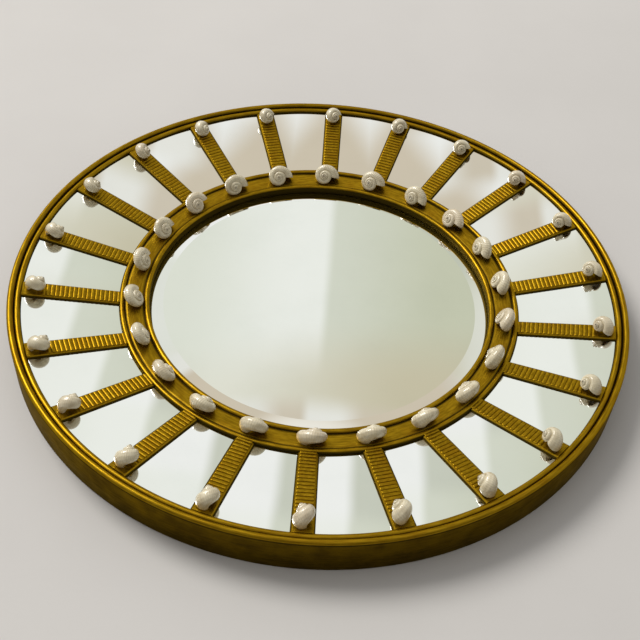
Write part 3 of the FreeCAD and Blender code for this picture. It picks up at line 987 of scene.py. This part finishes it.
def screw_form(name, head_r, shank_r, length):
    """Screw pointing up from a flat head at z = 0, with a cross cut into the head."""
    sides = 32
    rings = [(head_r, 0.0), (head_r, HEAD_EDGE), (shank_r, head_r - shank_r),
             (shank_r, length - POINT_LENGTH), (POINT_R, length)]
    turns = [2 * math.pi * i / sides for i in range(sides)]
    points = [(r * math.cos(a), r * math.sin(a), z) for r, z in rings for a in turns]
    faces = []
    for i in range(len(rings) - 1):
        for j in range(sides):
            k = (j + 1) % sides
            faces.append((i * sides + j, i * sides + k, (i + 1) * sides + k, (i + 1) * sides + j))
    faces.append(tuple(range((len(rings) - 1) * sides, len(rings) * sides)))
    cross = cross_outline(head_r * CROSS_ARM, head_r * CROSS_WIDTH)
    start, corners = len(points), len(cross)
    points += [(u, v, 0.0) for u, v in cross]
    points += [(u * CROSS_TAPER, v * CROSS_TAPER, CROSS_DEEP) for u, v in cross]
    for j in range(corners):
        k = (j + 1) % corners
        faces.append((start + j, start + k, start + corners + k, start + corners + j))
    faces.append(tuple(range(start + corners, start + 2 * corners)))
    piece = make_piece(name, points, faces, False)
    fill_head(piece)
    return piece


print("cross of", len(cross_outline(1.0, 0.2)), "corners")

# %% [markdown]
# One screw of each size is copied to its holes by Geometry Nodes, and each copy gets a turn of its own, as
# a screwdriver leaves them. Eight screws hold the board, and two hold each strap.

# %% Screws in their holes
driven = Recipe("screws_in_holes", {"Screw": "Object", "Steel": "Material", "Twist": "Float"})
holes = driven.add("GeometryNodeMeshToPoints", None, {"Mesh": driven.given("Geometry")})
order = driven.add("GeometryNodeInputIndex")
twist = driven.add("ShaderNodeMath", {"operation": "MULTIPLY"}, [order, driven.given("Twist")])
wrench = driven.add("ShaderNodeCombineXYZ", None, [0.0, 0.0, twist])
one_screw = driven.add("GeometryNodeObjectInfo", None, {"Object": driven.given("Screw")}, "Geometry")
placed = driven.add("GeometryNodeInstanceOnPoints", None,
                    {"Points": holes, "Instance": one_screw, "Rotation": wrench})
driven.finish(placed, driven.given("Steel"))

screw_r, board_screws, board_face = rim_in - 20.0, 8, 5.5
strap_step, strap_face, screw_twist = 8.0, 4.5, 1.9
board_turns = [math.pi / 2 + 2 * math.pi * i / board_screws for i in range(board_screws)]
board_spots = [(screw_r * math.cos(a), screw_r * math.sin(a), board_face) for a in board_turns]
strap_spots = [(side * hanger_x, hanger_y + step, strap_face)
               for side in (-1, 1) for step in (-strap_step, strap_step)]
screw_kinds = (
    ("board_screws", board_spots, {"head_r": 3.5, "shank_r": 1.75, "length": 16.0}),
    ("hanger_screws", strap_spots, {"head_r": 3.2, "shank_r": 1.7, "length": 14.0}),
)
for node, spots, form in screw_kinds:
    screw = screw_form("one_screw", **form)
    carrier = make_piece("screw_holes", spots, [])
    values = {"Screw": screw, "Steel": screw_steel, "Twist": screw_twist}
    mesh = driven.run(carrier, values, "plated_" + node)
    put_away(screw, carrier)
    piece = hang(add_object("plated_" + node, mesh))
    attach(piece, "frame")
    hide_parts(node)
    print(piece.name, len(piece.data.polygons), "faces")

# %% [markdown]
# ## Wall
# The mirror hangs on a plain pale wall. A solid wall would hide the back, so this one is a sheet that is
# clear from behind, and open where the mirror covers it. Then the back can be looked at in daylight.

# %% Wall
wall_hole, wall_reach, wall_sides, wall_depth = 446, 7000, 96, -0.6


def wall_paint():
    shaded, pale = (0.635, 0.62, 0.605), (0.66, 0.645, 0.63)
    paint = Paint("pale_wall")
    place = paint.place()
    cloud = paint.noise(place, scale=2.5, detail=4.0)
    fine = paint.noise(place, scale=160.0, detail=3.0)
    colour = paint.mix(cloud.ramp(0.3, 0.7), shaded, pale)
    relief = paint.bump(fine, distance=0.0004, strength=0.3)
    named = {"Base Color": colour, "Roughness": 0.85, "Normal": relief}
    plaster = paint.add("ShaderNodeBsdfPrincipled", None, named)
    clear = paint.add("ShaderNodeBsdfTransparent")
    behind = paint.add("ShaderNodeNewGeometry", output="Backfacing")
    both = paint.add("ShaderNodeMixShader", None, [behind, plaster, clear])
    paint.add("ShaderNodeOutputMaterial", None, {"Surface": both})
    return paint.block


wall_points, wall_faces = [], []
for i in range(wall_sides):
    a = 2 * math.pi * i / wall_sides
    wall_points += [(r * math.cos(a), r * math.sin(a), wall_depth) for r in (wall_hole, wall_reach)]
    j = (i + 1) % wall_sides
    wall_faces.append((2 * i, 2 * i + 1, 2 * j + 1, 2 * j))
wall = hang(make_piece("pale_wall", wall_points, wall_faces))
wall.data.materials.append(wall_paint())
print("wall of", len(wall.data.polygons), "faces")

# %% [markdown]
# ## What the mirror faces
# A mirror shows only what stands before it, so the world needs broad soft tones and not one flat grey.
# They are written by direction: x to the right, z up, and ahead straight out from the wall. White lies to
# the left and sage to the right, with cream and beige further ahead.

# %% Tones ahead of the mirror


def tones_ahead(paint, x, ahead, slant):
    """Tones in the middle: white meets sage at a soft edge, then cream, then beige."""
    white = paint.mix(x.ramp(-0.14, -0.02), (0.78, 0.8, 0.71), (0.9, 0.91, 0.86))
    sage = paint.mix(x.ramp(0.0, 0.13), (0.7, 0.72, 0.62), (0.6, 0.615, 0.475))
    plain = paint.mix(slant.ramp(0.0, 0.012), white, sage)
    cream = paint.mix(x.ramp(-0.1, 0.1), (0.8, 0.79, 0.69), (0.61, 0.56, 0.41))
    facing = paint.mix((ahead + x * 0.1).ramp(0.715, 0.765), plain, cream)
    bands = x.ramp(0.025, 0.055) + x.ramp(-0.06, -0.025) * (1.0 - x.ramp(-0.012, 0.0))
    beige = paint.mix(bands, (0.85, 0.84, 0.79), (0.66, 0.59, 0.48))
    return paint.mix(ahead.ramp(0.766, 0.782), facing, beige)


def tones_straight_out(paint, x, z, ahead, soft):
    """Tones near the mirror's own axis: a warm white that turns to a plain gradient from below."""
    lift = ahead + x.maths("ABSOLUTE") * 0.8 + soft * 0.5
    warm = paint.mix(lift.ramp(0.812, 0.85), (0.92, 0.92, 0.9), (0.66, 0.58, 0.46))
    front = paint.mix(z.ramp(-0.32, 0.12), (0.6, 0.58, 0.54), (0.9, 0.86, 0.78))
    return paint.mix(ahead.ramp(0.88, 0.895), warm, front)


def tones_aside(paint, x, slant):
    """Tones far from the mirror's axis: white on the left, sage on the right."""
    share = slant.ramp(0.0, 0.016) * 0.85 + x.ramp(0.0, 0.12) * 0.15
    return paint.mix(share, (0.93, 0.93, 0.91), (0.57, 0.59, 0.49))


print("tones for three zones: aside, ahead and straight out")

# %% [markdown]
# The zones are joined into one world. Matt surfaces get a plainer version, a soft light from the upper
# left, so that the tones in the glass do not tint the wall. The camera itself sees white.

# %% World


def studio():
    right_side, left_side, dusk = (0.76, 0.76, 0.68), (0.8, 0.81, 0.75), (0.16, 0.14, 0.11)
    shade, light = (0.28, 0.27, 0.25), (0.66, 0.655, 0.65)
    behind_wall, plain_white = (0.95, 0.94, 0.92), (1.0, 1.0, 1.0)
    paint = Paint("studio", world=True)
    way = paint.add("ShaderNodeTexCoord", output="Generated")
    x, y, z = paint.split(way)
    ahead = y * -1.0
    soft = (paint.noise(way, scale=1.6, detail=2.0) - 0.5) * 0.05
    slant = x + soft * 0.2
    edge = ahead + soft * 0.4
    inner = paint.mix(edge.ramp(0.8, 0.815), tones_ahead(paint, x, ahead, slant),
                      tones_straight_out(paint, x, z, ahead, soft))
    room = paint.mix(edge.ramp(0.585, 0.605), tones_aside(paint, x, slant), inner)
    sides = paint.mix(x.ramp(0.24, 0.3), room, right_side)
    sides = paint.mix((x * -1.0).ramp(0.24, 0.3), sides, left_side)
    dim = (z * -1.0).ramp(0.1, 0.55) * (1.0 - ahead.ramp(0.55, 0.9))
    mirrored = paint.mix(dim * 0.8, sides, dusk)
    soft_light = paint.mix((x * -0.5 + z * 0.8).ramp(-0.7, 0.7), shade, light)
    matt = paint.add("ShaderNodeLightPath", output="Is Diffuse Ray")
    front_half = paint.mix(matt, mirrored, soft_light)
    whole = paint.mix(y.ramp(0.0, 0.12), front_half, behind_wall)
    camera_ray = paint.add("ShaderNodeLightPath", output="Is Camera Ray")
    final = paint.mix(camera_ray, whole, plain_white)
    sky = paint.add("ShaderNodeBackground", None, {"Color": final, "Strength": 1.0})
    paint.add("ShaderNodeOutputWorld", None, {"Surface": sky})
    return paint.block


bpy.context.scene.world = studio()
report(bpy.context.scene.world)

# %% [markdown]
# ## Lamp
# One large round lamp at the upper left gives the gold its highlights and the mirror its soft shadow on
# the wall. A small lamp would throw hard edges, and a sun would make a bright spot in the glass.

# %% Lamp
lamp_spot = Vector((-6.2, -8.6, 5.0))
soft_lamp = bpy.data.lights.new("soft_lamp", "AREA")
soft_lamp.shape = "DISK"
soft_lamp.size = 5.4
soft_lamp.energy = 940.0
soft_lamp.color = (1.0, 0.97, 0.92)
lamp = add_object("soft_lamp", soft_lamp)
lamp.location = lamp_spot
lamp.rotation_euler = (-lamp_spot).to_track_quat("-Z", "Y").to_euler()
print("lamp", round(lamp_spot.length, 2), "m from the mirror")

# %% [markdown]
# ## Camera
# The photograph was taken from below the mirror's lower edge, with the lens looking up across its face
# at about 46 degrees. Position, tilt and lens were solved from points on the rim, the ring and the spokes,
# on the bench, so the camera is hung with the pieces.

# %% Camera
pan, tilt, roll = (math.radians(a) for a in (0.13, 45.93, -4.4))
lens_spot = Vector((0.0, -1.088, 1.091))
forward = Vector((math.sin(pan) * math.cos(tilt), math.cos(pan) * math.cos(tilt), -math.sin(tilt)))
right = Vector((math.cos(pan), -math.sin(pan), 0))
down = forward.cross(right)
across_x = right * math.cos(roll) + down * math.sin(roll)
across_y = down * math.cos(roll) - right * math.sin(roll)
stand = Matrix((across_x, -across_y, -forward)).transposed().to_4x4()
stand.translation = lens_spot
lens = bpy.data.cameras.new("photo_camera")
lens.sensor_fit = "HORIZONTAL"
lens.sensor_width = 36.0
lens.lens = 56.35
lens.clip_start = 0.05
camera = add_object("photo_camera", lens)
camera.matrix_world = HANG @ stand
bpy.context.scene.camera = camera
bpy.context.scene.view_settings.view_transform = "Standard"
print("camera", round(lens_spot.length, 3), "m from the mirror, lens", round(lens.lens, 2), "mm")

# %% [markdown]
